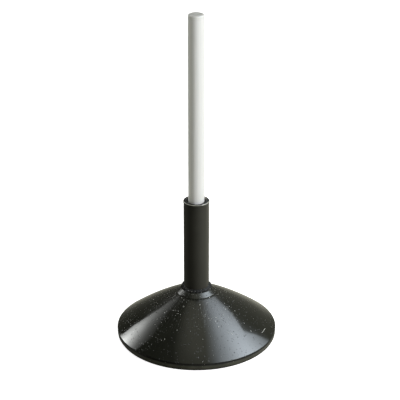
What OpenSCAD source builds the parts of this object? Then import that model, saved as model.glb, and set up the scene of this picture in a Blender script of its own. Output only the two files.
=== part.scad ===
// Weighted pole stand.
// A loose pole stands in the socket tube of a heavy cone-shaped base.
// Units are millimetres, +Z is up, and the origin is on the floor under the middle of the base.

/* [Base] */
// Diameter of the base at its rim
base_d = 254; // [240:1:300]
// Height of the cone's lower edge above the floor
edge_z = 12.5; // [12:0.5:16]
// Height of the cone's flat top above the floor
top_z = 73.5; // [66:0.5:80]
// Rise of the cone's curved side above a straight line
cone_bulge = 2.5; // [1:0.5:5]
// Thickness of the pressed shell
shell_t = 2; // [1.5:0.5:2.5]
// Thickness of the plate that closes the underside
plate_t = 2; // [1.5:0.5:2.5]

/* [Neck] */
// Diameter of the collar on top of the cone
collar_d = 62; // [58:1:66]
// Height of the collar
collar_h = 6.7; // [6:0.1:8]
// Diameter of the weld bead around the foot of the socket tube
bead_d = 46.4; // [45:0.2:48]
// Height of the weld bead
bead_h = 4.8; // [4.5:0.1:5]

/* [Socket] */
// Outside diameter of the steel socket tube
tube_d = 33.7; // [33.5:0.1:33.8]
// Wall of the steel socket tube
tube_wall = 2.6; // [2:0.1:3.2]
// Outside diameter of the sleeve over the socket tube
sleeve_d = 40; // [39:0.5:42]
// Height of the sleeve's mouth above the floor
mouth_z = 231; // [160:1:300]
// Thickness of the plug welded into the tube's lower end
plug_h = 12; // [10:1:20]
// Thickness of the rubber pad under the pole
pad_h = 3; // [2:0.5:6]

/* [Pole] */
// Outside diameter of the pole
pole_d = 25; // [24:0.5:26]
// Wall of the pole
pole_wall = 1.5; // [1:0.1:2.5]
// Height of the pole's top above the floor
pole_top_z = 530; // [400:10:1800]

/* [Hidden] */
$fn = 180;

enamel_black = [0.12, 0.13, 0.12];
satin_black = [0.16, 0.16, 0.14];
rubber_black = [0.09, 0.09, 0.08];
zinc_grey = [0.62, 0.63, 0.64];
concrete_grey = [0.58, 0.57, 0.54];
pole_white = [0.93, 0.94, 0.94];

// Outline of the cone: one arc from the lower edge to the flat top
edge_r = base_d / 2;
top_r = collar_d / 2 + 0.5;
chord = [edge_r - top_r, top_z - edge_z];
chord_l = norm(chord);
arc_r = (chord_l * chord_l / 4 + cone_bulge * cone_bulge) / (2 * cone_bulge);
arc_out = [chord[1], chord[0]] / chord_l;
arc_mid = [(edge_r + top_r) / 2, (edge_z + top_z) / 2];
arc_centre = arc_mid - arc_out * (arc_r - cone_bulge);
arc_fn = 2880;

// Turned-down edge of the shell and the rubber edging on it
edge_lip = 0.5;
flange_r = edge_r - 2.1;
flange_z = 3;
edging_gap = 0.7;
edging_top_z = edge_z - edge_lip - edging_gap;
edging_bulge_r = 20;
edging_bulge_z = 6.5;
edging_out_r = edge_r - 0.2;
edging_in_r = flange_r - shell_t - 2;
edging_lip_z = 8;
edging_chamfer = 1.8;
edging_foot = 0.8;

// Closing plate, with a raised middle that hides the bolt head
plate_r = edging_in_r - 1;
plate_z = 3;
dish_z = 10;
dish_r = 19;
dish_slope = 5;
fill_gap = 0.2;

// Socket
tube_r = tube_d / 2;
bore_r = tube_r - tube_wall;
tube_z = dish_z + plate_t;
sleeve_r = sleeve_d / 2;
sleeve_in_r = tube_r + 0.15;
lip_h = 3;
lip_out = 0.5;
lip_round = 1.2;
tube_fit = 0.1;
tube_recess = 0.5;
tube_chamfer = 0.5;
collar_z = top_z;
collar_edge = 1.3;
bead_z = collar_z + collar_h;
bead_round = 5.2;
sleeve_z = bead_z + bead_h;
pad_z = tube_z + plug_h;
pad_r = bore_r - 0.25;

// M8 bolt and its washers
bolt_r = 4;
bolt_flats = 13;
bolt_head_h = 5.3;
bolt_in_plug = 10;
bolt_hole_r = 4.3;
flat_washer_r = 8;
flat_washer_h = 1.6;
lock_washer_r = 7.4;
lock_washer_h = 2;
washer_in_r = 4.2;
lock_split = 1.6;
flat_washer_z = dish_z - flat_washer_h;
lock_washer_z = flat_washer_z - lock_washer_h;
bolt_head_z = lock_washer_z - bolt_head_h;

// Pole and its two end pieces
pole_r = pole_d / 2;
pole_in_r = pole_r - pole_wall;
foot_z = pad_z + pad_h;
foot_flange = 3;
foot_chamfer = 0.8;
foot_spigot = 22;
foot_fit = 0.05;
pole_z = foot_z + foot_flange + 0.1;
cap_h = 5;
cap_round = 2.5;
cap_spigot = 15;
cap_fit = 0.05;
cap_z = pole_top_z - cap_h;

// A ring with a rectangular section
module ring(r_in, r_out, z, h) {
    rotate_extrude()
        translate([r_in, z]) square([r_out - r_in, h]);
}

// Half section under the cone's outer curve, moved inwards by inset
module under_cone(inset, r_in, r_out, z_low, z_high) {
    intersection() {
        translate(arc_centre) circle(r = arc_r - inset, $fn = arc_fn);
        translate([r_in, z_low]) square([r_out - r_in, z_high - z_low]);
    }
}

// Pressed steel cone with a flat top, a hole for the tube and a turned-down edge
module cone_shell() {
    in_r = flange_r - shell_t;
    color(enamel_black) rotate_extrude() {
        difference() {
            under_cone(0, tube_r + tube_fit, edge_r, edge_z - edge_lip, top_z);
            under_cone(shell_t, 0, in_r, 0, top_z - shell_t);
        }
        translate([in_r, flange_z]) square([shell_t, edge_z - edge_lip - flange_z]);
    }
}

// Rubber edging: a channel pushed up over the shell's turned-down edge, and the foot of the stand
module rim_edging() {
    color(rubber_black) rotate_extrude() difference() {
        intersection() {
            translate([edging_out_r - edging_bulge_r, edging_bulge_z])
                circle(r = edging_bulge_r, $fn = 360);
            polygon([
                [edging_in_r, 0], [edge_r - edging_chamfer - 1.2, 0],
                [edge_r, edging_chamfer + 1.2], [edge_r, edging_top_z - edging_foot],
                [edge_r - edging_foot, edging_top_z], [edging_in_r, edging_top_z]
            ]);
        }
        translate([flange_r - shell_t, flange_z]) square([shell_t, edging_top_z]);
        translate([edging_in_r - 1, edging_lip_z]) square([flange_r - edging_in_r + 0.5, edging_top_z]);
    }
}

// Steel plate that closes the underside
module base_plate() {
    color(enamel_black) rotate_extrude() polygon([
        [bolt_hole_r, dish_z], [dish_r, dish_z], [dish_r + dish_slope, plate_z], [plate_r, plate_z],
        [plate_r, plate_z + plate_t], [dish_r + dish_slope + 1, plate_z + plate_t],
        [dish_r + 1, dish_z + plate_t], [bolt_hole_r, dish_z + plate_t]
    ]);
}

// Concrete that fills the base and keeps it upright
module ballast() {
    color(concrete_grey) rotate_extrude() difference() {
        under_cone(shell_t + fill_gap, tube_r + tube_fit, plate_r + 1, 0, top_z - shell_t - fill_gap);
        polygon([
            [0, -1], [plate_r + 2, -1], [plate_r + 2, plate_z + plate_t],
            [dish_r + dish_slope + 1, plate_z + plate_t], [dish_r + 1, dish_z + plate_t],
            [0, dish_z + plate_t]
        ]);
    }
}

// Turned steel collar on the cone's flat top
module neck_collar() {
    color(enamel_black) rotate_extrude() polygon([
        [tube_r + tube_fit, collar_z], [collar_d / 2, collar_z],
        [collar_d / 2, collar_z + collar_edge], [bead_d / 2 + 0.5, collar_z + collar_h],
        [tube_r + tube_fit, collar_z + collar_h]
    ]);
}

// Fillet weld that joins the socket tube to the collar
module weld_bead() {
    color(rubber_black) rotate_extrude() intersection() {
        translate([bead_d / 2 - bead_round, bead_z]) circle(r = bead_round, $fn = 120);
        translate([tube_r, bead_z]) square([bead_round * 2, bead_h]);
    }
}

// Steel tube that holds the pole
module socket_tube() {
    top = mouth_z - tube_recess;
    color(satin_black) rotate_extrude() polygon([
        [bore_r, tube_z], [tube_r, tube_z], [tube_r, top - tube_chamfer],
        [tube_r - tube_chamfer, top], [bore_r + tube_chamfer, top], [bore_r, top - tube_chamfer]
    ]);
}

// Plastic sleeve over the tube, with a thicker rolled lip at its mouth
module outer_sleeve() {
    lip_r = sleeve_r + lip_out;
    color(satin_black) rotate_extrude() {
        translate([sleeve_in_r, sleeve_z]) square([sleeve_r - sleeve_in_r, mouth_z - lip_h - sleeve_z]);
        difference() {
            translate([sleeve_in_r, mouth_z - lip_h]) square([lip_r - sleeve_in_r, lip_h]);
            translate([lip_r - lip_round, mouth_z - lip_round]) square([lip_round + 1, lip_round + 1]);
        }
        translate([lip_r - lip_round, mouth_z - lip_round]) circle(r = lip_round, $fn = 60);
    }
}

// Steel plug in the tube's lower end, tapped for the bolt
module socket_plug() {
    color(zinc_grey) ring(bolt_r, bore_r, tube_z, plug_h);
}

// Rubber pad that the pole stands on
module rest_pad() {
    color(rubber_black) translate([0, 0, pad_z]) cylinder(r = pad_r, h = pad_h);
}

// Hexagon bolt that draws the plate up to the tube
module centre_bolt() {
    color(zinc_grey) {
        translate([0, 0, bolt_head_z]) cylinder(d = bolt_flats / cos(30), h = bolt_head_h, $fn = 6);
        translate([0, 0, lock_washer_z])
            cylinder(r = bolt_r, h = tube_z + bolt_in_plug - lock_washer_z);
    }
}

// Split spring washer
module lock_washer() {
    color(zinc_grey) difference() {
        ring(washer_in_r, lock_washer_r, lock_washer_z, lock_washer_h);
        translate([0, -lock_split / 2, lock_washer_z - 1])
            cube([lock_washer_r + 1, lock_split, lock_washer_h + 2]);
    }
}

// Plain washer
module flat_washer() {
    color(zinc_grey) ring(washer_in_r, flat_washer_r, flat_washer_z, flat_washer_h);
}

// Plug in the pole's lower end, which stands on the pad
module pole_foot() {
    color(rubber_black) rotate_extrude() polygon([
        [0, foot_z], [pole_r - foot_chamfer, foot_z], [pole_r, foot_z + foot_chamfer],
        [pole_r, foot_z + foot_flange], [pole_in_r - foot_fit, foot_z + foot_flange],
        [pole_in_r - foot_fit, foot_z + foot_spigot], [0, foot_z + foot_spigot]
    ]);
}

// Pole
module pole_tube() {
    color(pole_white) ring(pole_in_r, pole_r, pole_z, cap_z - pole_z);
}

// Cap in the pole's upper end
module pole_cap() {
    color(pole_white) rotate_extrude() {
        translate([0, cap_z - cap_spigot]) square([pole_in_r - cap_fit, cap_spigot]);
        translate([0, cap_z]) square([pole_r, cap_h - cap_round]);
        translate([0, cap_z]) square([pole_r - cap_round, cap_h]);
        translate([pole_r - cap_round, pole_top_z - cap_round]) circle(r = cap_round, $fn = 60);
    }
}

cone_shell();
rim_edging();
base_plate();
ballast();
neck_collar();
weld_bead();
socket_tube();
outer_sleeve();
socket_plug();
rest_pad();
centre_bolt();
lock_washer();
flat_washer();
pole_foot();
pole_tube();
pole_cap();
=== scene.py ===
"""Looks of a weighted pole stand: an enamelled steel cone with a rubber edge, a socket tube in a
plastic sleeve, and a loose white pole. Blender's metres, +Z up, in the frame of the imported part;
outlines are points (radius, height) in millimetres."""
import math

import bmesh
import bpy
from mathutils import Matrix, Vector, noise


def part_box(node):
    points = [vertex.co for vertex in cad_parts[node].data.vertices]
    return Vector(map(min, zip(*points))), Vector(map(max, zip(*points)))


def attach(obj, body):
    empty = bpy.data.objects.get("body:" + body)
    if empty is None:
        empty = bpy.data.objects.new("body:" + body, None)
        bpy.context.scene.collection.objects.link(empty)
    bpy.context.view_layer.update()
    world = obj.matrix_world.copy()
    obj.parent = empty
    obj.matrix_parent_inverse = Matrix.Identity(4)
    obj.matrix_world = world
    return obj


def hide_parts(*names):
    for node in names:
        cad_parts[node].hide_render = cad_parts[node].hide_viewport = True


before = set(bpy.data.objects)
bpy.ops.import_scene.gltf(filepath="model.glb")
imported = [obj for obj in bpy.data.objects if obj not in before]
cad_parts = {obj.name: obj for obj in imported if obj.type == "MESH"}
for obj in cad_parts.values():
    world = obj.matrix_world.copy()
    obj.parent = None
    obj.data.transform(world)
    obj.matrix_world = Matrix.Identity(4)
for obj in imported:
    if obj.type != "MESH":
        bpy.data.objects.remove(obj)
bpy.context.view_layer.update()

MM = 0.001
FULL_TURN = 2 * math.pi


# ---------------------------------------------------------------- sizes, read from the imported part

def span(node):
    """Outer radius, lowest height and highest height of a CAD node, in mm."""
    low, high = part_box(node)
    return high.x / MM, low.z / MM, high.z / MM


EDGE_R, FLANGE_Z, TOP_Z = span("cone_shell")
EDGING_R, _, EDGING_Z = span("rim_edging")
PLATE_R, PLATE_Z, DISH_TOP_Z = span("base_plate")
COLLAR_R, COLLAR_Z, BEAD_Z = span("neck_collar")
BEAD_R, _, SLEEVE_Z = span("weld_bead")
TUBE_R, TUBE_Z, TUBE_TOP_Z = span("socket_tube")
LIP_R, _, MOUTH_Z = span("outer_sleeve")
BORE_R, _, _ = span("socket_plug")
FOOT_R, FOOT_Z, FOOT_TOP_Z = span("pole_foot")
POLE_R, POLE_Z, POLE_END_Z = span("pole_tube")
_, CAP_SPIGOT_Z, CAP_TOP_Z = span("pole_cap")
_, HEAD_Z, BOLT_END_Z = span("centre_bolt")
SPRING_R, SPRING_Z, WASHER_Z = span("lock_washer")
WASHER_R, _, DISH_Z = span("flat_washer")

# What the boxes don't give, as in the part's source
EDGE_Z = 12.5
EDGE_LIP = 0.5
TOP_R = COLLAR_R + 0.5
CONE_BULGE = 2.5
SHELL_T = 2.0
FLANGE_R = EDGE_R - 2.1
EDGING_IN_R = FLANGE_R - SHELL_T - 2
PLATE_T = 2.0
COLLAR_EDGE = 1.3
TUBE_HOLE_R = TUBE_R + 0.1
SLEEVE_IN_R = TUBE_R + 0.15
SLEEVE_R = 20.0
LIP_H = 3.0
POLE_IN_R = POLE_R - 1.5
SPIGOT_R = POLE_IN_R - 0.05
BOLT_HOLE_R = 4.3
WASHER_IN_R = 4.2


# ---------------------------------------------------------------- mesh code

def rounded(corners, steps=5):
    """Outline from corners (radius, height, fillet): a filleted corner becomes an arc."""
    points = []
    for i, (r, z, fillet) in enumerate(corners):
        corner = Vector((r, z))
        if not fillet:
            points.append(corner)
            continue
        to_last = (Vector(corners[i - 1][:2]) - corner).normalized()
        to_next = (Vector(corners[(i + 1) % len(corners)][:2]) - corner).normalized()
        half = to_last.angle(to_next) / 2
        reach = fillet / math.tan(half)
        centre = corner + (to_last + to_next).normalized() * fillet / math.sin(half)
        start = corner + to_last * reach - centre
        end = corner + to_next * reach - centre
        sweep = start.angle_signed(end)
        for k in range(steps + 1):
            points.append(centre + Matrix.Rotation(-sweep * k / steps, 2) @ start)
    return points


def divided(points, step, hold=0.35, closed=True):
    """Adds points along an outline's long sides: one at hold mm from each end, which keeps the
    fillets' shading off the flats, and one every step mm between."""
    result = []
    last = len(points) if closed else len(points) - 1
    for i in range(last):
        a, b = points[i], points[(i + 1) % len(points)]
        length = (b - a).length
        result.append(a)
        if length > 3 * hold:
            count = max(1, math.ceil((length - 2 * hold) / step))
            for k in range(count + 1):
                along = hold + (length - 2 * hold) * k / count
                result.append(a.lerp(b, along / length))
    if not closed:
        result.append(points[-1])
    return result


def at(r, angle, z):
    """The point at that radius, angle and height."""
    return Vector((r * math.cos(angle), r * math.sin(angle), z))


def skinned(name, rows, material, looped=False, ringed=True, capped=False, sharp=38):
    """A smooth piece through rows of points in mm, with sharp edges above that angle. looped joins
    the last row to the first, ringed a row's last point to its first; capped closes both ends."""
    bm = bmesh.new()
    verts = [[bm.verts.new(point * MM) for point in row] for row in rows]
    following = verts[1:] + verts[:1] if looped else verts[1:]
    for row, beyond in zip(verts, following):
        for j in range(len(row) if ringed else len(row) - 1):
            k = (j + 1) % len(row)
            bm.faces.new((row[j], beyond[j], beyond[k], row[k]))
    if capped:
        bm.faces.new(verts[0])
        bm.faces.new(verts[-1])
    bmesh.ops.remove_doubles(bm, verts=bm.verts, dist=1e-7)
    bmesh.ops.recalc_face_normals(bm, faces=bm.faces)
    mesh = bpy.data.meshes.new(name)
    bm.to_mesh(mesh)
    bm.free()
    mesh.materials.append(material)
    for face in mesh.polygons:
        face.use_smooth = True
    mesh.set_sharp_from_angle(angle=math.radians(sharp))
    piece = bpy.data.objects.new(name, mesh)
    bpy.context.scene.collection.objects.link(piece)
    return piece


def turned(name, outline, material, steps=192, wander=None):
    """Turns an outline about +Z. An outline that starts and ends on the axis stays open there.
    wander(angle, r, z) gives how far a point strays from the true shape, as (dr, dz) in mm."""
    rows = []
    for i in range(steps):
        angle = FULL_TURN * i / steps
        row = []
        for r, z in outline:
            dr, dz = wander(angle, r, z) if wander else (0, 0)
            row.append(at(r + dr, angle, z + dz))
        rows.append(row)
    on_axis = outline[0].x < 1e-6 and outline[-1].x < 1e-6
    return skinned(name, rows, material, looped=True, ringed=not on_axis)


def fitted(piece, body, slot, *nodes):
    """The piece rides on its body and stands for those CAD nodes, which are hidden. slot is not used."""
    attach(piece, body)
    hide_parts(*nodes)


# ---------------------------------------------------------------- material code

def linear(code):
    """An sRGB hex colour as linear RGBA."""
    channels = [int(code[i:i + 2], 16) / 255 for i in (1, 3, 5)]
    return (*[c / 12.92 if c < 0.04045 else ((c + 0.055) / 1.055) ** 2.4 for c in channels], 1.0)


def per_metre(size_mm):
    """The scale that a pattern node needs for features size_mm across."""
    return 1 / (size_mm * MM)


def add(tree, kind, settings):
    """Adds a shader node. A setting is a property's name, or an input's name or its number among
    those in use. A value that is an output, or a node (its first output in use), is linked."""
    node = tree.nodes.new("ShaderNode" + kind)
    for name, value in settings.items():
        if hasattr(node, str(name)):
            setattr(node, name, value)
            continue
        inputs = [socket for socket in node.inputs if socket.enabled]
        target = inputs[name] if isinstance(name, int) else next(s for s in inputs if s.name == name)
        if isinstance(value, bpy.types.Node):
            value = next(output for output in value.outputs if output.enabled)
        if isinstance(value, bpy.types.NodeSocket):
            tree.links.new(value, target)
        else:
            target.default_value = value
    return node


def new_finish(name):
    """An empty material, its node tree, and the place on the piece that its patterns follow."""
    material = bpy.data.materials.new(name)
    material.use_nodes = True
    tree = material.node_tree
    tree.nodes.clear()
    return material, tree, add(tree, "TexCoord", {}).outputs["Object"]


def surfaced(tree, settings):
    """Ends a finish with a Principled shader that has those settings."""
    shader = add(tree, "BsdfPrincipled", settings)
    add(tree, "OutputMaterial", {"Surface": shader})


def mottled(tree, pattern, first, second, low=0.3, high=0.7):
    """Colour that goes from first to second while the pattern goes from low to high."""
    share = add(tree, "MapRange", {"Value": pattern, "From Min": low, "From Max": high})
    return add(tree, "Mix", {"data_type": "RGBA", "Factor": share, "A": linear(first), "B": linear(second)})


def stained(tree, colour, mark, strength, stain):
    """The colour with a stain over it where the mark is, at that strength."""
    share = add(tree, "Math", {"operation": "MULTIPLY", 0: mark, 1: strength})
    return add(tree, "Mix", {"data_type": "RGBA", "Factor": share, "A": colour, "B": linear(stain)})


def dulled(tree, gloss, mark, amount):
    """The roughness with that amount added where the mark is. A negative amount polishes."""
    change = add(tree, "Math", {"operation": "MULTIPLY", 0: mark, 1: amount})
    return add(tree, "Math", {"operation": "ADD", "use_clamp": True, 0: gloss, 1: change})


def band(tree, height, rise, fall):
    """1 in a band, 0 outside it: goes up over the two heights of rise and down over those of fall,
    in mm."""
    up = add(tree, "MapRange", {"Value": height, "From Min": rise[0] * MM, "From Max": rise[1] * MM})
    down = add(tree, "MapRange", {"Value": height, "From Min": fall[1] * MM, "From Max": fall[0] * MM})
    return add(tree, "Math", {"operation": "MULTIPLY", 0: up, 1: down})


def specks(tree, place, spacing_mm, size_mm, share):
    """1 on scattered round specks, 0 elsewhere: a share of cells spacing_mm apart holds one of up
    to size_mm across."""
    cells = add(tree, "TexVoronoi", {"Vector": place, "Scale": per_metre(spacing_mm)})
    lottery = add(tree, "SeparateColor", {0: cells.outputs["Color"]})
    largest = size_mm / 2 / spacing_mm
    reach = add(tree, "MapRange", {"Value": lottery.outputs["Green"], "To Min": 0.3 * largest,
                                   "To Max": largest})
    inside = add(tree, "Math", {"operation": "SUBTRACT", 0: reach, 1: cells.outputs["Distance"]})
    shape = add(tree, "MapRange", {"Value": inside, "From Max": 0.2 * largest})
    chosen = add(tree, "Math", {"operation": "LESS_THAN", 0: lottery.outputs["Red"], 1: share})
    return add(tree, "Math", {"operation": "MULTIPLY", 0: shape, 1: chosen})


def scratch(tree, place, start, end, width_mm):
    """1 along a straight scratch between two points (x, y) in mm, seen from above, 0 elsewhere."""
    origin = Vector((*start, 0)) * MM
    run = Vector((*end, 0)) * MM - origin
    flat = add(tree, "VectorMath", {"operation": "MULTIPLY", 0: place, 1: (1, 1, 0)})
    away = add(tree, "VectorMath", {"operation": "SUBTRACT", 0: flat, 1: origin})
    ahead = add(tree, "VectorMath", {"operation": "DOT_PRODUCT", 0: away, 1: run / run.length_squared})
    share = add(tree, "Math", {"operation": "ADD", "use_clamp": True, 0: ahead, 1: 0.0})
    nearest = add(tree, "VectorMath", {"operation": "SCALE", 0: run, 1: share})
    beside = add(tree, "VectorMath", {"operation": "DISTANCE", 0: away, 1: nearest})
    return add(tree, "MapRange", {"Value": beside, "From Min": width_mm / 2 * MM,
                                  "From Max": width_mm / 4 * MM})


def round_the_axis(tree, place, turns, along_mm):
    """Coordinates for streaks that run outwards from the axis: turns sets how many there are round
    it, along_mm how long they are. Gives the radius too."""
    flat = add(tree, "VectorMath", {"operation": "MULTIPLY", 0: place, 1: (1, 1, 0)})
    radius = add(tree, "VectorMath", {"operation": "LENGTH", 0: flat})
    direction = add(tree, "VectorMath", {"operation": "NORMALIZE", 0: flat})
    around = add(tree, "VectorMath", {"operation": "SCALE", 0: direction, 1: turns})
    sides = add(tree, "SeparateXYZ", {0: around})
    outward = add(tree, "Math", {"operation": "MULTIPLY", 0: radius, 1: per_metre(along_mm)})
    lines = add(tree, "CombineXYZ", {"X": sides.outputs["X"], "Y": sides.outputs["Y"], "Z": outward})
    return lines, radius


def stoved_enamel():
    """Black stoving enamel on pressed steel: a hard gloss with slight orange peel, dust nibs baked
    into it, dull pits, one scratch, and grime in fine streaks that run out from the neck. Real
    nibs are 0.2 to 0.5 mm across and a scratch 0.1 mm; they are drawn coarser, so that they show."""
    material, tree, place = new_finish("stoved_enamel")
    cloud = add(tree, "TexNoise", {"Vector": place, "Scale": per_metre(45)})

    lines, radius = round_the_axis(tree, place, 60.0, 30)
    streaks = add(tree, "TexNoise", {"Vector": lines, "Scale": 1.0, "Detail": 3.0})
    streaky = add(tree, "MapRange", {"Value": streaks, "From Min": 0.45, "From Max": 0.75})
    near_neck = add(tree, "MapRange", {"Value": radius, "From Min": 95 * MM, "From Max": 30 * MM})
    grime = add(tree, "Math", {"operation": "MULTIPLY", 0: streaky, 1: near_neck})

    nibs = specks(tree, place, 5.0, 1.6, 0.24)
    patches = add(tree, "TexNoise", {"Vector": place, "Scale": per_metre(28)})
    patchy = add(tree, "MapRange", {"Value": patches, "From Min": 0.4, "From Max": 0.55})
    round_neck = add(tree, "MapRange", {"Value": radius, "From Min": 90 * MM, "From Max": 50 * MM})
    crowded = add(tree, "Math", {"operation": "MULTIPLY", 0: round_neck, 1: patchy})
    crowd = add(tree, "Math", {"operation": "MULTIPLY", 0: specks(tree, place, 2.6, 1.35, 0.5), 1: crowded})
    dust = nibs
    for mark in (crowd, scratch(tree, place, (109, -33), (104, -46), 0.75)):
        dust = add(tree, "Math", {"operation": "MAXIMUM", 0: dust, 1: mark})
    pits = specks(tree, place, 3.2, 2.2, 0.45)

    colour = mottled(tree, cloud, "#1a1c17", "#21231d")
    for mark, strength, stain in ((grime, 0.5, "#4a4a44"), (dust, 1.0, "#d6d8d2"), (pits, 1.0, "#060605")):
        colour = stained(tree, colour, mark, strength, stain)
    gloss = add(tree, "MapRange", {"Value": cloud, "From Min": 0.3, "From Max": 0.7,
                                   "To Min": 0.05, "To Max": 0.10})
    for mark, amount in ((near_neck, 0.08), (grime, 0.25), (dust, 0.4), (pits, 0.3)):
        gloss = dulled(tree, gloss, mark, amount)
    peel = add(tree, "TexNoise", {"Vector": place, "Scale": per_metre(5)})
    waves = add(tree, "Bump", {"Height": peel, "Distance": 0.012 * MM})
    raised = add(tree, "Math", {"operation": "SUBTRACT", 0: dust, 1: pits})
    lumps = add(tree, "Bump", {"Height": raised, "Distance": 0.12 * MM, "Normal": waves})
    surfaced(tree, {"IOR": 1.5, "Base Color": colour, "Roughness": gloss, "Normal": lumps})
    return material


def moulded_rubber():
    """Black moulded rubber: a dull sheen, the fine grain of its skin, painted shade in its groove and
    at its foot, and pale scuffs. Grain and scuffs are drawn coarser than the real ones, which measure a
    few tenths of a millimetre."""
    material, tree, place = new_finish("moulded_rubber")
    skin = add(tree, "TexNoise", {"Vector": place, "Scale": per_metre(0.8), "Detail": 3})
    patches = add(tree, "TexNoise", {"Vector": place, "Scale": per_metre(18)})
    scuffs = specks(tree, place, 4.0, 1.8, 0.4)
    height = add(tree, "SeparateXYZ", {0: place}).outputs["Z"]
    # Painted shade: the groove under the cone's edge and the curve at the foot are painted near-black and
    # made rougher
    groove_shade = band(tree, height, (8.2, 9.6), (12, 13))
    foot_shade = add(tree, "MapRange", {"Value": height, "From Min": 4.6 * MM, "From Max": 2.2 * MM})
    painted_shade = add(tree, "Math", {"operation": "MAXIMUM", 0: groove_shade, 1: foot_shade})

    colour = mottled(tree, patches, "#31322a", "#3e3f36", 0.35, 0.65)
    # painted shade in the groove and at the foot
    colour = stained(tree, colour, painted_shade, 0.9, "#060605")
    colour = stained(tree, colour, scuffs, 0.6, "#8d8b80")
    gloss = add(tree, "MapRange", {"Value": skin, "From Min": 0.3, "From Max": 0.7,
                                   "To Min": 0.42, "To Max": 0.58})
    gloss = dulled(tree, gloss, painted_shade, 0.3)
    bump = add(tree, "Bump", {"Height": skin, "Distance": 0.03 * MM})
    surfaced(tree, {"IOR": 1.5, "Specular IOR Level": 0.3, "Base Color": colour, "Roughness": gloss,
                    "Normal": bump})
    return material


def enamelled_weld():
    """Weld metal under the same black enamel: glossy where the enamel has run, dull on the crust,
    with spatter, drawn larger than real spatter of about a millimetre. The spatter is painted light
    grey, which stands in for glints."""
    material, tree, place = new_finish("enamelled_weld")
    crust = add(tree, "TexNoise", {"Vector": place, "Scale": per_metre(1.6), "Detail": 4, "Roughness": 0.65})
    spatter_and_glints = specks(tree, place, 2.6, 2.4, 0.5)
    colour = mottled(tree, crust, "#080807", "#121210", 0.4, 0.7)
    # Light grey on the spatter is painted glints as well as spatter; its bumps are real spatter
    colour = stained(tree, colour, spatter_and_glints, 0.8, "#a9aba5")
    gloss = add(tree, "MapRange", {"Value": crust, "From Min": 0.35, "From Max": 0.5,
                                   "To Min": 0.25, "To Max": 0.8})
    raised = add(tree, "Math", {"operation": "ADD", 0: crust, 1: spatter_and_glints})
    bump = add(tree, "Bump", {"Height": raised, "Distance": 0.6 * MM})
    surfaced(tree, {"IOR": 1.5, "Specular IOR Level": 0.35, "Base Color": colour, "Roughness": gloss,
                    "Normal": bump})
    return material


def extruded_pvc_black():
    """Black PVC tube as it leaves the die: satin, with faint lines along its length, drawn wider than
    real die lines. A highlight is painted pale along the round of its mouth, and its cut end is
    painted darker and duller."""
    material, tree, place = new_finish("extruded_pvc_black")
    stretched = add(tree, "Mapping", {"Vector": place, "Scale": (1.0, 1.0, 0.012)})
    lines = add(tree, "TexNoise", {"Vector": stretched, "Scale": per_metre(0.9), "Detail": 3})
    bloom = add(tree, "TexNoise", {"Vector": place, "Scale": per_metre(30)})
    height = add(tree, "SeparateXYZ", {0: place}).outputs["Z"]
    from_mouth = add(tree, "Math", {"operation": "SUBTRACT", 0: MOUTH_Z * MM, 1: height})
    # Painted highlight: a pale, patchy band along the round of the lip, where the gloss is raised as well
    highlight_band = band(tree, from_mouth, (0.1, 0.2), (0.7, 0.9))
    blotch_noise = add(tree, "TexNoise", {"Vector": place, "Scale": per_metre(7), "Detail": 3})
    patchy = add(tree, "MapRange", {"Value": blotch_noise, "From Min": 0.3, "From Max": 0.55})
    lip_highlight = add(tree, "Math", {"operation": "MULTIPLY", 0: highlight_band, 1: patchy})
    # The mouth's top face is painted darker and made duller than the sleeve's side
    cut_end = add(tree, "MapRange", {"Value": from_mouth, "From Min": 0.1 * MM, "From Max": 0.02 * MM})

    colour = mottled(tree, bloom, "#1b1b16", "#23231d")
    colour = stained(tree, colour, cut_end, 1.0, "#080807")
    colour = stained(tree, colour, lip_highlight, 0.9, "#d9d9cd")
    gloss = add(tree, "MapRange", {"Value": bloom, "From Min": 0.3, "From Max": 0.7,
                                   "To Min": 0.36, "To Max": 0.46})
    gloss = dulled(tree, gloss, lip_highlight, -0.22)
    gloss = dulled(tree, gloss, cut_end, 0.4)
    bump = add(tree, "Bump", {"Height": lines, "Distance": 0.02 * MM})
    surfaced(tree, {"IOR": 1.53, "Specular IOR Level": 0.45, "Base Color": colour, "Roughness": gloss,
                    "Normal": bump})
    return material


def worn_tube_paint():
    """Black paint on a steel tube, rubbed through to bright metal at the mouth by the pole."""
    material, tree, place = new_finish("worn_tube_paint")
    height = add(tree, "SeparateXYZ", {0: place}).outputs["Z"]
    at_mouth = add(tree, "MapRange", {"Value": height, "From Min": (TUBE_TOP_Z - 1.2) * MM,
                                      "From Max": (TUBE_TOP_Z - 0.2) * MM})
    blotch_noise = add(tree, "TexNoise", {"Vector": place, "Scale": per_metre(4), "Detail": 4, "Roughness": 0.6})
    chips = add(tree, "MapRange", {"Value": blotch_noise, "From Min": 0.56, "From Max": 0.64})
    bare = add(tree, "Math", {"operation": "MULTIPLY", 0: at_mouth, 1: chips})
    colour = stained(tree, linear("#131311"), bare, 1.0, "#8f908e")
    gloss = add(tree, "MapRange", {"Value": bare, "To Min": 0.5, "To Max": 0.28})
    peel = add(tree, "TexNoise", {"Vector": place, "Scale": per_metre(0.7), "Detail": 3})
    bump = add(tree, "Bump", {"Height": peel, "Distance": 0.03 * MM})
    surfaced(tree, {"Base Color": colour, "Metallic": bare, "Roughness": gloss, "Normal": bump})
    return material


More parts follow.
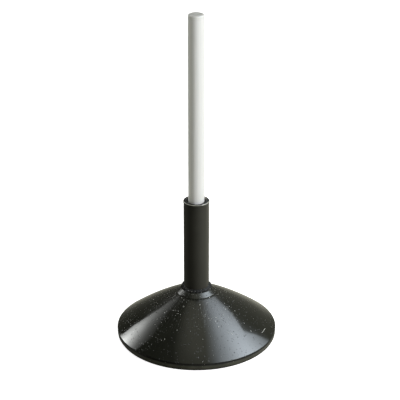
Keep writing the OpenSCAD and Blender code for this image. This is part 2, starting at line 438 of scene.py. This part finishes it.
def extruded_pvc_white():
    """White extruded PVC: smooth with a soft gloss, faint die lines, drawn wider than real ones, and
    a little dirt low down."""
    material, tree, place = new_finish("extruded_pvc_white")
    height = add(tree, "SeparateXYZ", {0: place}).outputs["Z"]
    low_down = add(tree, "MapRange", {"Value": height, "From Min": (MOUTH_Z + 40) * MM,
                                      "From Max": (FOOT_Z + 20) * MM})
    smears = add(tree, "TexNoise", {"Vector": place, "Scale": per_metre(14), "Detail": 4, "Roughness": 0.6})
    smeared = add(tree, "MapRange", {"Value": smears, "From Min": 0.45, "From Max": 0.8})
    dirt = add(tree, "Math", {"operation": "MULTIPLY", 0: smeared, 1: low_down})
    stretched = add(tree, "Mapping", {"Vector": place, "Scale": (1.0, 1.0, 0.01)})
    lines = add(tree, "TexNoise", {"Vector": stretched, "Scale": per_metre(1.2), "Detail": 3})
    colour = mottled(tree, lines, "#eceeee", "#f3f4f4")
    colour = stained(tree, colour, dirt, 0.35, "#aaa69a")
    gloss = add(tree, "MapRange", {"Value": lines, "From Min": 0.3, "From Max": 0.7,
                                   "To Min": 0.28, "To Max": 0.36})
    bump = add(tree, "Bump", {"Height": lines, "Distance": 0.008 * MM})
    surfaced(tree, {"IOR": 1.53, "Subsurface Weight": 0.05, "Subsurface Scale": 2 * MM,
                    "Subsurface Radius": (1.0, 0.9, 0.8), "Base Color": colour, "Roughness": gloss,
                    "Normal": bump})
    return material


def moulded_cap_white():
    """White moulded polyethylene: slightly waxy, with the faint grain of its mould, drawn coarser
    than the real grain of about a tenth of a millimetre."""
    material, tree, place = new_finish("moulded_cap_white")
    cloud = add(tree, "TexNoise", {"Vector": place, "Scale": per_metre(12)})
    mould = add(tree, "TexNoise", {"Vector": place, "Scale": per_metre(0.6), "Detail": 3})
    colour = mottled(tree, cloud, "#e9ebea", "#f2f3f2", 0.0, 1.0)
    gloss = add(tree, "MapRange", {"Value": mould, "From Min": 0.3, "From Max": 0.7,
                                   "To Min": 0.34, "To Max": 0.46})
    bump = add(tree, "Bump", {"Height": mould, "Distance": 0.01 * MM})
    surfaced(tree, {"IOR": 1.51, "Subsurface Weight": 0.12, "Subsurface Scale": 2 * MM,
                    "Subsurface Radius": (1.0, 0.9, 0.8), "Base Color": colour, "Roughness": gloss,
                    "Normal": bump})
    return material


def plate_paint():
    """Thin black paint on sheet steel: semi-matt, with a mottled tone, orange peel and pale dust,
    which is drawn coarser than real dust."""
    material, tree, place = new_finish("plate_paint")
    peel = add(tree, "TexNoise", {"Vector": place, "Scale": per_metre(1.5), "Detail": 3})
    cloud = add(tree, "TexNoise", {"Vector": place, "Scale": per_metre(40), "Detail": 4})
    dust = specks(tree, place, 6.0, 1.6, 0.35)
    colour = mottled(tree, cloud, "#20211f", "#2d2d2a", 0.35, 0.65)
    colour = stained(tree, colour, dust, 0.5, "#7d7b74")
    gloss = add(tree, "MapRange", {"Value": cloud, "From Min": 0.3, "From Max": 0.7,
                                   "To Min": 0.34, "To Max": 0.55})
    bump = add(tree, "Bump", {"Height": peel, "Distance": 0.03 * MM})
    surfaced(tree, {"IOR": 1.5, "Base Color": colour, "Roughness": gloss, "Normal": bump})
    return material


def zinc_plate():
    """Bright zinc plating on steel: a clean metal with a faint blue and yellow bloom, and the fine
    grain of the plating, drawn coarser than it is."""
    material, tree, place = new_finish("zinc_plate")
    bloom = add(tree, "TexNoise", {"Vector": place, "Scale": per_metre(6), "Detail": 3})
    plating = add(tree, "TexNoise", {"Vector": place, "Scale": per_metre(0.4)})
    colour = mottled(tree, bloom, "#b9bdc2", "#c6c2b2")
    gloss = add(tree, "MapRange", {"Value": bloom, "From Min": 0.3, "From Max": 0.7,
                                   "To Min": 0.26, "To Max": 0.4})
    bump = add(tree, "Bump", {"Height": plating, "Distance": 0.01 * MM})
    surfaced(tree, {"Metallic": 1.0, "Base Color": colour, "Roughness": gloss, "Normal": bump})
    return material


def cast_concrete():
    """Cast concrete: grey cement with sand grains, drawn at their coarsest, and air holes."""
    material, tree, place = new_finish("cast_concrete")
    cement = add(tree, "TexNoise", {"Vector": place, "Scale": per_metre(9), "Detail": 5, "Roughness": 0.6})
    sand = specks(tree, place, 3.0, 3.0, 0.6)
    holes = specks(tree, place, 9.0, 6.0, 0.4)
    colour = mottled(tree, cement, "#85827a", "#a5a298")
    colour = stained(tree, colour, sand, 0.5, "#6f6a5e")
    colour = stained(tree, colour, holes, 1.0, "#4f4c46")
    gloss = add(tree, "MapRange", {"Value": cement, "From Min": 0.3, "From Max": 0.7,
                                   "To Min": 0.8, "To Max": 0.95})
    raised = add(tree, "Math", {"operation": "SUBTRACT", 0: cement, 1: holes})
    bump = add(tree, "Bump", {"Height": raised, "Distance": 0.4 * MM})
    surfaced(tree, {"Specular IOR Level": 0.3, "Base Color": colour, "Roughness": gloss, "Normal": bump})
    return material


ENAMEL = stoved_enamel()
RUBBER = moulded_rubber()
WELD = enamelled_weld()
SLEEVE_PVC = extruded_pvc_black()
TUBE_PAINT = worn_tube_paint()
POLE_PVC = extruded_pvc_white()
CAP_PE = moulded_cap_white()
PLATE_PAINT = plate_paint()
ZINC = zinc_plate()
CONCRETE = cast_concrete()


# ---------------------------------------------------------------- the base

def cone_arc(inset, count=40):
    """Points of the cone's curved side from its top to its edge, moved inwards by inset."""
    top, edge = Vector((TOP_R, TOP_Z)), Vector((EDGE_R, EDGE_Z))
    chord = edge - top
    outward = Vector((-chord.y, chord.x)).normalized()
    radius = ((chord.length / 2) ** 2 + CONE_BULGE ** 2) / (2 * CONE_BULGE)
    centre = (top + edge) / 2 - outward * (radius - CONE_BULGE)
    half = math.asin(chord.length / 2 / radius)
    points = []
    for k in range(count + 1):
        turn = Matrix.Rotation(half - 2 * half * k / count, 2)
        points.append(centre + turn @ outward * (radius - inset))
    return points


def pressed_wave(angle, r, z):
    """The slow unevenness of a sheet pressing, about a tenth of a millimetre, none at the neck."""
    from_neck = min(1.0, max(0.0, (r - TUBE_R - 2) / 20))
    return 0, 0.16 * noise.noise(at(r, angle, z) / 26) * from_neck


def make_cone():
    """Pressed cone: flat top, curved side, a tight bend at its edge and a turned-down flange."""
    lip_z = EDGE_Z - EDGE_LIP
    flange_in_r = FLANGE_R - SHELL_T
    outer = cone_arc(0)
    inner = cone_arc(SHELL_T, 20)
    # A point close to the edge keeps the bend's shading off the curved side
    beside_edge = outer[-1].lerp(outer[-2], 0.35)
    rim = rounded([
        (*beside_edge, 0), (EDGE_R, EDGE_Z, 0.45), (EDGE_R, lip_z, 0.2), (FLANGE_R, lip_z, 0),
        (FLANGE_R, FLANGE_Z, 0.3), (flange_in_r, FLANGE_Z, 0.3), (flange_in_r, inner[-1].y, 0)], 4)
    inner_side = [p for p in reversed(inner) if p.x < flange_in_r - 0.5]
    top = [Vector((TOP_R - SHELL_T, TOP_Z - SHELL_T)), Vector((TUBE_HOLE_R, TOP_Z - SHELL_T)),
           Vector((TUBE_HOLE_R, TOP_Z))]
    outline = divided(top + outer[:-1] + rim + inner_side, 6, 1.2)
    cone = turned("cone", outline, ENAMEL, 360, pressed_wave)
    fitted(cone, "base", "enamel", "cone_shell")


def make_edging():
    """Rubber edging: an outer wall that swells outwards, a foot, and a short inner leg."""
    flange_in_r = FLANGE_R - SHELL_T
    swell_r, swell_z, leg_z = 20, 6.5, 8
    foot_out_r = 124.6
    swell = [Vector((EDGING_R - swell_r + math.sqrt(swell_r ** 2 - (z - swell_z) ** 2), z))
             for z in (3.2, 4.8, 6.5, 8.2, 9.8)]
    low = rounded([(EDGING_IN_R, 0, 0.4), (foot_out_r, 0, 1.4), (*swell[0], 0)], 4)
    high = rounded([
        (*swell[-1], 0), (EDGING_R - 0.45, EDGING_Z, 1.3), (FLANGE_R, EDGING_Z, 0.2),
        (FLANGE_R, FLANGE_Z, 0), (flange_in_r, FLANGE_Z, 0), (flange_in_r, leg_z, 0.5),
        (EDGING_IN_R, leg_z, 0.5)], 4)
    outline = divided(low[:-1] + swell + high[1:], 2.5)

    def pushed_on(angle, r, z):
        """Pushed on by hand, the edging rides up a little unevenly; its foot stays flat."""
        lift = 0.18 * noise.noise(at(3.1, angle, 0))
        return 0, lift * max(0, z - 3) / (EDGING_Z - 3)

    edging = turned("edging", outline, RUBBER, 288, pushed_on)
    fitted(edging, "base", "rubber", "rim_edging")


def make_plate():
    """Closing plate with a dished middle, its bends rounded as a press leaves them."""
    dish_r, slope = 19, 5
    outline = divided(rounded([
        (BOLT_HOLE_R, DISH_Z, 0.2), (dish_r, DISH_Z, 2.5), (dish_r + slope, PLATE_Z, 1.2),
        (PLATE_R, PLATE_Z, 0.5), (PLATE_R, PLATE_Z + PLATE_T, 0.5),
        (dish_r + slope + 1, PLATE_Z + PLATE_T, 2.5), (dish_r + 1, DISH_TOP_Z, 1.2),
        (BOLT_HOLE_R, DISH_TOP_Z, 0.2)]), 6)
    plate = turned("plate", outline, PLATE_PAINT, 192)
    fitted(plate, "base", "plate_paint", "base_plate")


def make_collar():
    """Turned collar with its edges broken by a small radius."""
    outline = divided(rounded([
        (TUBE_HOLE_R, COLLAR_Z, 0), (COLLAR_R, COLLAR_Z, 0.15), (COLLAR_R, COLLAR_Z + COLLAR_EDGE, 0.5),
        (BEAD_R + 0.5, BEAD_Z, 0.8), (TUBE_HOLE_R, BEAD_Z, 0)]), 1.5)
    collar = turned("collar", outline, ENAMEL, 192)
    fitted(collar, "base", "enamel", "neck_collar")


def make_weld():
    """Fillet weld laid in overlapping ripples, uneven in height, with a lump where each of its two
    runs stops."""
    ripples, stops = 58, (0.0, math.pi)
    round_r = 5.2
    height = SLEEVE_Z - BEAD_Z
    levels = [height * k / 14 for k in range(15)]
    arc = [Vector((BEAD_R - round_r + math.sqrt(round_r ** 2 - h ** 2), BEAD_Z + h)) for h in levels]
    outline = divided([Vector((TUBE_R, BEAD_Z))] + arc + [Vector((TUBE_R, SLEEVE_Z))], 0.5, 0.1)

    def laid(angle, r, z):
        """Ripples, slow wander, crust and lumps, all of them fading out towards the tube."""
        out = (r - TUBE_R) / (BEAD_R - TUBE_R)
        phase = (angle * ripples / FULL_TURN + 0.9 * out + noise.noise(Vector((angle * 4, 0, 0)))) % 1
        ripple = 0.7 * (math.sqrt(phase) - 0.75)
        slow = 0.8 * noise.noise(at(5, angle, 1.5))
        crust = 0.7 * noise.noise(at(r, angle, z) / 1.6)
        lump = sum(math.exp(-(math.remainder(angle - stop, FULL_TURN) / 0.22) ** 2) for stop in stops)
        below_sleeve = z < SLEEVE_Z - 0.3
        climb = min(1, (z - BEAD_Z) / height) if r > SLEEVE_R - 1 else 0
        return (ripple + slow + crust + 1.2 * lump) * out * below_sleeve, 5.0 * lump * climb

    bead = turned("weld", outline, WELD, 464, laid)
    fitted(bead, "base", "weld", "weld_bead")


# ---------------------------------------------------------------- the socket

def make_sleeve():
    """Plastic sleeve: cut square at its foot, with a rolled lip at its mouth."""
    lip_z = MOUTH_Z - LIP_H
    outline = divided(rounded([
        (SLEEVE_IN_R, SLEEVE_Z, 0.2), (SLEEVE_R, SLEEVE_Z, 0.3), (SLEEVE_R, lip_z, 0.5),
        (LIP_R, lip_z + 0.45, 0.3), (LIP_R, MOUTH_Z, 1.2), (SLEEVE_IN_R, MOUTH_Z, 0.5)], 6), 5)
    sleeve = turned("sleeve", outline, SLEEVE_PVC, 160)
    fitted(sleeve, "base", "sleeve", "outer_sleeve")


def make_tube():
    """Steel socket tube, its mouth filed round."""
    outline = divided(rounded([
        (BORE_R, TUBE_Z, 0.2), (TUBE_R, TUBE_Z, 0.2), (TUBE_R, TUBE_TOP_Z, 0.6),
        (BORE_R, TUBE_TOP_Z, 0.8)]), 6)
    tube = turned("tube", outline, TUBE_PAINT, 128)
    fitted(tube, "base", "tube_steel", "socket_tube")


# ---------------------------------------------------------------- fastenings under the plate

def make_bolt():
    """Hexagon bolt: a head with the chamfer that rounds a real one's corners, and a thread."""
    half_flats, shank_r, pitch, thread_depth = 6.5, 4.0, 1.25, 0.7
    chamfer_starts, chamfer_slope = 0.93 * half_flats, 0.55
    sixth = math.pi / 3
    steps = 72
    angles = [FULL_TURN * i / steps for i in range(steps)]

    def side_r(angle):
        """Radius of the head's flat side at that angle."""
        return half_flats / math.cos((angle + sixth / 2) % sixth - sixth / 2)

    def head_point(r, angle, lift):
        """Point of the head. lift is 0 on its face and 1 under the washer."""
        face_z = HEAD_Z + max(0.0, r - chamfer_starts) * chamfer_slope
        return at(r, angle, face_z + (SPRING_Z - face_z) * lift)

    rows = [[head_point(share * half_flats, a, 0) for a in angles] for share in (0.0, 0.45, 0.8, 0.9)]
    rows += [[head_point(share * side_r(a), a, lift) for a in angles]
             for share, lift in ((0.97, 0), (1.0, 0), (1.0, 1 / 3), (1.0, 2 / 3), (1.0, 1.0))]
    shank = [(shank_r, SPRING_Z)]
    crest_z = SPRING_Z
    while crest_z < BOLT_END_Z - pitch:
        shank += [(shank_r - thread_depth, crest_z + pitch / 2), (shank_r, crest_z + pitch)]
        crest_z += pitch
    shank += [(shank_r - 0.6, BOLT_END_Z), (0.0, BOLT_END_Z)]
    rows += [[at(r, a, z) for a in angles] for r, z in shank]
    bolt = skinned("bolt", rows, ZINC, sharp=25)
    fitted(bolt, "base", "zinc", "centre_bolt")


def make_washer():
    """Plain washer with stamped edges."""
    outline = divided(rounded([
        (WASHER_IN_R, WASHER_Z, 0.15), (WASHER_R, WASHER_Z, 0.45), (WASHER_R, DISH_Z, 0.15),
        (WASHER_IN_R, DISH_Z, 0.15)], 4), 2)
    washer = turned("washer", outline, ZINC, 96)
    fitted(washer, "base", "zinc", "flat_washer")


def make_spring_washer():
    """Split spring washer, pressed flat, whose two ends stand apart."""
    steps, split = 84, 0.26
    section = rounded([
        (WASHER_IN_R, SPRING_Z, 0.2), (SPRING_R, SPRING_Z, 0.3), (SPRING_R, WASHER_Z, 0.3),
        (WASHER_IN_R, WASHER_Z, 0.2)], 3)
    rows = []
    for i in range(steps + 1):
        angle = split / 2 + (FULL_TURN - split) * i / steps
        rows.append([at(p.x, angle, p.y) for p in section])
    spring = skinned("spring_washer", rows, ZINC, capped=True)
    fitted(spring, "base", "zinc", "lock_washer")


# ---------------------------------------------------------------- the pole

def make_pole():
    """Plain pole, its ends sawn and lightly deburred."""
    outline = divided(rounded([
        (POLE_IN_R, POLE_Z, 0.2), (POLE_R, POLE_Z, 0.25), (POLE_R, POLE_END_Z, 0.2),
        (POLE_IN_R, POLE_END_Z, 0.2)], 4), 12)
    pole = turned("pole", outline, POLE_PVC, 128)
    fitted(pole, "pole", "pole_white", "pole_tube")


def make_cap():
    """Moulded cap with a softly domed top."""
    dome = [Vector((r, CAP_TOP_Z - 0.5 * (r / POLE_R) ** 2)) for r in (0.0, 2.5, 5.0, 7.5)]
    side = rounded([
        (*dome[-1], 0), (POLE_R, CAP_TOP_Z - 0.45, 2.4), (POLE_R, POLE_END_Z, 0.25),
        (SPIGOT_R, POLE_END_Z, 0), (SPIGOT_R, CAP_SPIGOT_Z, 0.8), (0.0, CAP_SPIGOT_Z, 0)], 7)
    outline = divided(dome[:-1] + side, 3, closed=False)
    cap = turned("cap", outline, CAP_PE, 128)
    fitted(cap, "pole", "cap_white", "pole_cap")


def make_foot():
    """Rubber foot plug: a flange under the pole's end and a spigot with shallow grip grooves."""
    groove, bevel, floor, spacing = 0.5, 0.6, 1.0, 3.2
    flange_z = FOOT_Z + 3
    grooves = []
    z = flange_z + 2
    while z < FOOT_TOP_Z - 3:
        low, high = z + bevel, z + bevel + floor
        grooves += [(SPIGOT_R, z, 0), (SPIGOT_R - groove, low, 0), (SPIGOT_R - groove, high, 0),
                    (SPIGOT_R, high + 0.4, 0)]
        z += spacing
    outline = divided(rounded([
        (0.0, FOOT_Z, 0), (FOOT_R, FOOT_Z, 0.9), (FOOT_R, flange_z, 0.3), (SPIGOT_R, flange_z, 0),
        *grooves, (SPIGOT_R, FOOT_TOP_Z, 0.8), (0.0, FOOT_TOP_Z, 0)]), 3, closed=False)
    foot = turned("foot", outline, RUBBER, 96)
    fitted(foot, "foot", "rubber", "pole_foot")


make_cone()
make_edging()
make_plate()
make_collar()
make_weld()
make_sleeve()
make_tube()
make_bolt()
make_washer()
make_spring_washer()
make_pole()
make_cap()
make_foot()

# These pieces inside the stand keep their CAD shape
for node, material in (("ballast", CONCRETE), ("socket_plug", ZINC), ("rest_pad", RUBBER)):
    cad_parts[node].material_slots[0].material = material


# ---------------------------------------------------------------- studio

# Brightness of the studio beside the lamps, as the stand's surfaces see it
GROUND_LEFT, GROUND_RIGHT = 0.15, 1.0
WALL_LEFT, WALL_RIGHT = 0.06, 0.26
CEILING = 0.6

# A softbox's frame: how far its edge is blurred, and the share and reach of the haze beside it
EDGE_BLUR = 0.008
HAZE, HAZE_REACH = 0.12, 0.12


def make_floor():
    """A large sheet of pale paper under the stand. Only the camera sees it, and only from above:
    the light that a floor gives back comes from the ground in make_world."""
    reach = 9.0
    mesh = bpy.data.meshes.new("floor")
    mesh.from_pydata([(-reach, -reach, 0), (reach, -reach, 0), (reach, reach, 0), (-reach, reach, 0)],
                     [], [(0, 1, 2, 3)])
    floor = bpy.data.objects.new("floor", mesh)
    bpy.context.scene.collection.objects.link(floor)
    floor.location.z = -0.5 * MM
    material, tree, _ = new_finish("floor_paper")
    paper = add(tree, "BsdfPrincipled", {"Base Color": linear("#f4f4f2"), "Roughness": 0.9,
                                         "Emission Color": linear("#ffffff"), "Emission Strength": 0.9})
    clear = add(tree, "BsdfTransparent", {})
    from_below = add(tree, "NewGeometry", {}).outputs["Backfacing"]
    sheet = add(tree, "MixShader", {0: from_below, 1: paper, 2: clear})
    add(tree, "OutputMaterial", {"Surface": sheet})
    mesh.materials.append(material)
    floor.visible_glossy = False
    floor.visible_diffuse = False
    floor.visible_shadow = False


def heading(azimuth, elevation):
    """Direction at an azimuth (degrees from +Y towards +X) and an elevation."""
    a, e = math.radians(azimuth), math.radians(elevation)
    return Vector((math.sin(a) * math.cos(e), math.cos(a) * math.cos(e), math.sin(e)))


def softbox_glow(lamp, across, up, distance, hot, spread, cuts, top_fade):
    """Makes a softbox brightest at the place hot = (x, y) on its wall, fading over the distance
    spread. It shines where one of the cuts (a, b, c) has a * x + b * y + c above 0, with a faint
    haze beside that, and fades out between the two heights y of top_fade. All of it is in units of
    the wall's distance."""
    lamp.use_nodes = True
    tree = lamp.node_tree
    tree.nodes.clear()
    spot = add(tree, "NewGeometry", {}).outputs["Position"]
    x, y = [add(tree, "VectorMath", {"operation": "DOT_PRODUCT", 0: spot, 1: axis / distance})
            for axis in (across, up)]
    on_wall = add(tree, "CombineXYZ", {"X": x, "Y": y})
    from_hot = add(tree, "VectorMath", {"operation": "DISTANCE", 0: on_wall, 1: (*hot, 0)})
    away = add(tree, "Math", {"operation": "DIVIDE", 0: from_hot, 1: spread})
    away_squared = add(tree, "Math", {"operation": "MULTIPLY", 0: away, 1: away})
    falloff = add(tree, "Math", {"operation": "ADD", 0: away_squared, 1: 1.0})
    glow = add(tree, "Math", {"operation": "POWER", 0: falloff, 1: -2.0})
    if cuts:
        window = 0.0
        for a, b, c in cuts:
            side = add(tree, "VectorMath", {"operation": "DOT_PRODUCT", 0: on_wall, 1: (a, b, 0)})
            pane = add(tree, "MapRange", {"Value": side, "From Min": -c - EDGE_BLUR,
                                          "From Max": -c + EDGE_BLUR, "To Max": 1 - HAZE})
            haze = add(tree, "MapRange", {"Value": side, "From Min": -c - HAZE_REACH,
                                          "From Max": -c, "To Max": HAZE})
            lit = add(tree, "Math", {"operation": "ADD", 0: pane, 1: haze})
            window = add(tree, "Math", {"operation": "MAXIMUM", 0: lit, 1: window})
        glow = add(tree, "Math", {"operation": "MULTIPLY", 0: glow, 1: window})
    if top_fade:
        fade = add(tree, "MapRange", {"Value": y, "From Min": top_fade[1], "From Max": top_fade[0]})
        glow = add(tree, "Math", {"operation": "MULTIPLY", 0: glow, 1: fade})
    shader = add(tree, "Emission", {"Strength": glow})
    add(tree, "OutputLight", {"Surface": shader})


def make_softbox(name, wall, size, brightness, colour, middle=(0.0, 0.0), twist=0.0, hot=None,
                 spread=1.0, cuts=(), top_fade=None):
    """A softbox on a flat wall that faces the stand. wall is (azimuth, elevation, distance) of the
    wall's middle. The box's size, its middle and its glow are in units of that distance, and twist
    turns it on the wall, in degrees."""
    azimuth, elevation, distance = wall
    outward = heading(azimuth, elevation)
    across = outward.cross(Vector((0, 0, 1))).normalized()
    up = across.cross(outward)
    lamp = bpy.data.lights.new(name, "AREA")
    lamp.shape = "RECTANGLE"
    lamp.size, lamp.size_y = size[0] * distance, size[1] * distance
    lamp.energy = brightness * math.pi * lamp.size * lamp.size_y
    lamp.color = linear(colour)[:3]
    box = bpy.data.objects.new(name, lamp)
    box.location = (outward + across * middle[0] + up * middle[1]) * distance
    turn = Matrix((-across, up, outward)).transposed() @ Matrix.Rotation(math.radians(-twist), 3, "Z")
    box.rotation_euler = turn.to_euler()
    bpy.context.scene.collection.objects.link(box)
    if hot:
        softbox_glow(lamp, across, up, distance, hot, spread, cuts, top_fade)
    return box


def make_world():
    """A dim studio, white to the camera: a pale ground that runs lighter to the right, walls that
    do so too, and a small bright ceiling."""
    world = bpy.data.worlds.new("studio")
    world.use_nodes = True
    tree = world.node_tree
    tree.nodes.clear()
    way = add(tree, "TexCoord", {}).outputs["Generated"]
    parts = add(tree, "SeparateXYZ", {0: way})
    right, high = parts.outputs["X"], parts.outputs["Z"]
    ground = add(tree, "MapRange", {"Value": right, "From Min": -0.5, "From Max": 0.8,
                                    "To Min": GROUND_LEFT, "To Max": GROUND_RIGHT})
    walls = add(tree, "MapRange", {"Value": right, "From Min": -0.6, "From Max": 0.1,
                                   "To Min": WALL_LEFT, "To Max": WALL_RIGHT})
    ceiling = add(tree, "MapRange", {"Value": high, "From Min": 0.93, "From Max": 0.99,
                                     "To Max": CEILING})
    room = add(tree, "Math", {"operation": "ADD", 0: walls, 1: ceiling})
    below = add(tree, "MapRange", {"Value": high, "From Min": 0.0, "From Max": -0.3})
    level = add(tree, "Mix", {"Factor": below, "A": room, "B": ground})
    dim = add(tree, "Background", {"Color": linear("#f2f1de"), "Strength": level})
    white = add(tree, "Background", {"Color": linear("#ffffff"), "Strength": 1.0})
    to_camera = add(tree, "LightPath", {}).outputs["Is Camera Ray"]
    sky = add(tree, "MixShader", {0: to_camera, 1: dim, 2: white})
    add(tree, "OutputWorld", {"Surface": sky})
    bpy.context.scene.world = world


def make_camera():
    """Camera in front of the stand and 24 degrees above it, on a long lens."""
    distance = 2.24208
    elevation = math.radians(23.93)
    aim = Vector((0.00568, 0, 0.231233))
    back = Vector((0, -math.cos(elevation), math.sin(elevation)))
    data = bpy.data.cameras.new("camera")
    data.sensor_width = 36
    data.lens = 130.17
    camera = bpy.data.objects.new("camera", data)
    camera.location = aim + back * distance
    camera.rotation_euler = (-back).to_track_quat("-Z", "Y").to_euler()
    bpy.context.scene.collection.objects.link(camera)
    bpy.context.scene.camera = camera


make_floor()
make_world()
# The window and the reflector give the enamel its reflections. The key, edge and fill lights do the
# shading; the fill is for the side that faces away from the camera.
window = make_softbox("window", wall=(85, 52, 3.0), size=(1.4, 1.04), brightness=12, colour="#e8f3fd",
                      middle=(0.0, 0.1), hot=(0.04, -0.14), spread=0.55,
                      cuts=[(0.237, 1.0, 0.195), (0.693, -0.72, 0.108)], top_fade=(0.3, 0.6))
reflector = make_softbox("reflector", wall=(-56, 28, 3.0), size=(0.43, 0.64), brightness=28,
                         colour="#f6f8f6", middle=(-0.025, 0.05), twist=-8, hot=(-0.06, -0.1),
                         spread=0.18)
make_softbox("key", wall=(123, 28, 2.2), size=(0.36, 0.6), brightness=10.2, colour="#f9faff")
edge = make_softbox("edge", wall=(-70, 8, 2.2), size=(0.3, 0.6), brightness=6.5, colour="#fffff6")
fill = make_softbox("fill", wall=(-15, 14, 2.6), size=(0.6, 0.8), brightness=3.4, colour="#fbfcff")
for mirrored_only in (window, reflector):
    mirrored_only.visible_diffuse = False
for unmirrored in (edge, fill):
    unmirrored.visible_glossy = False
make_camera()
bpy.context.scene.view_settings.view_transform = "Standard"
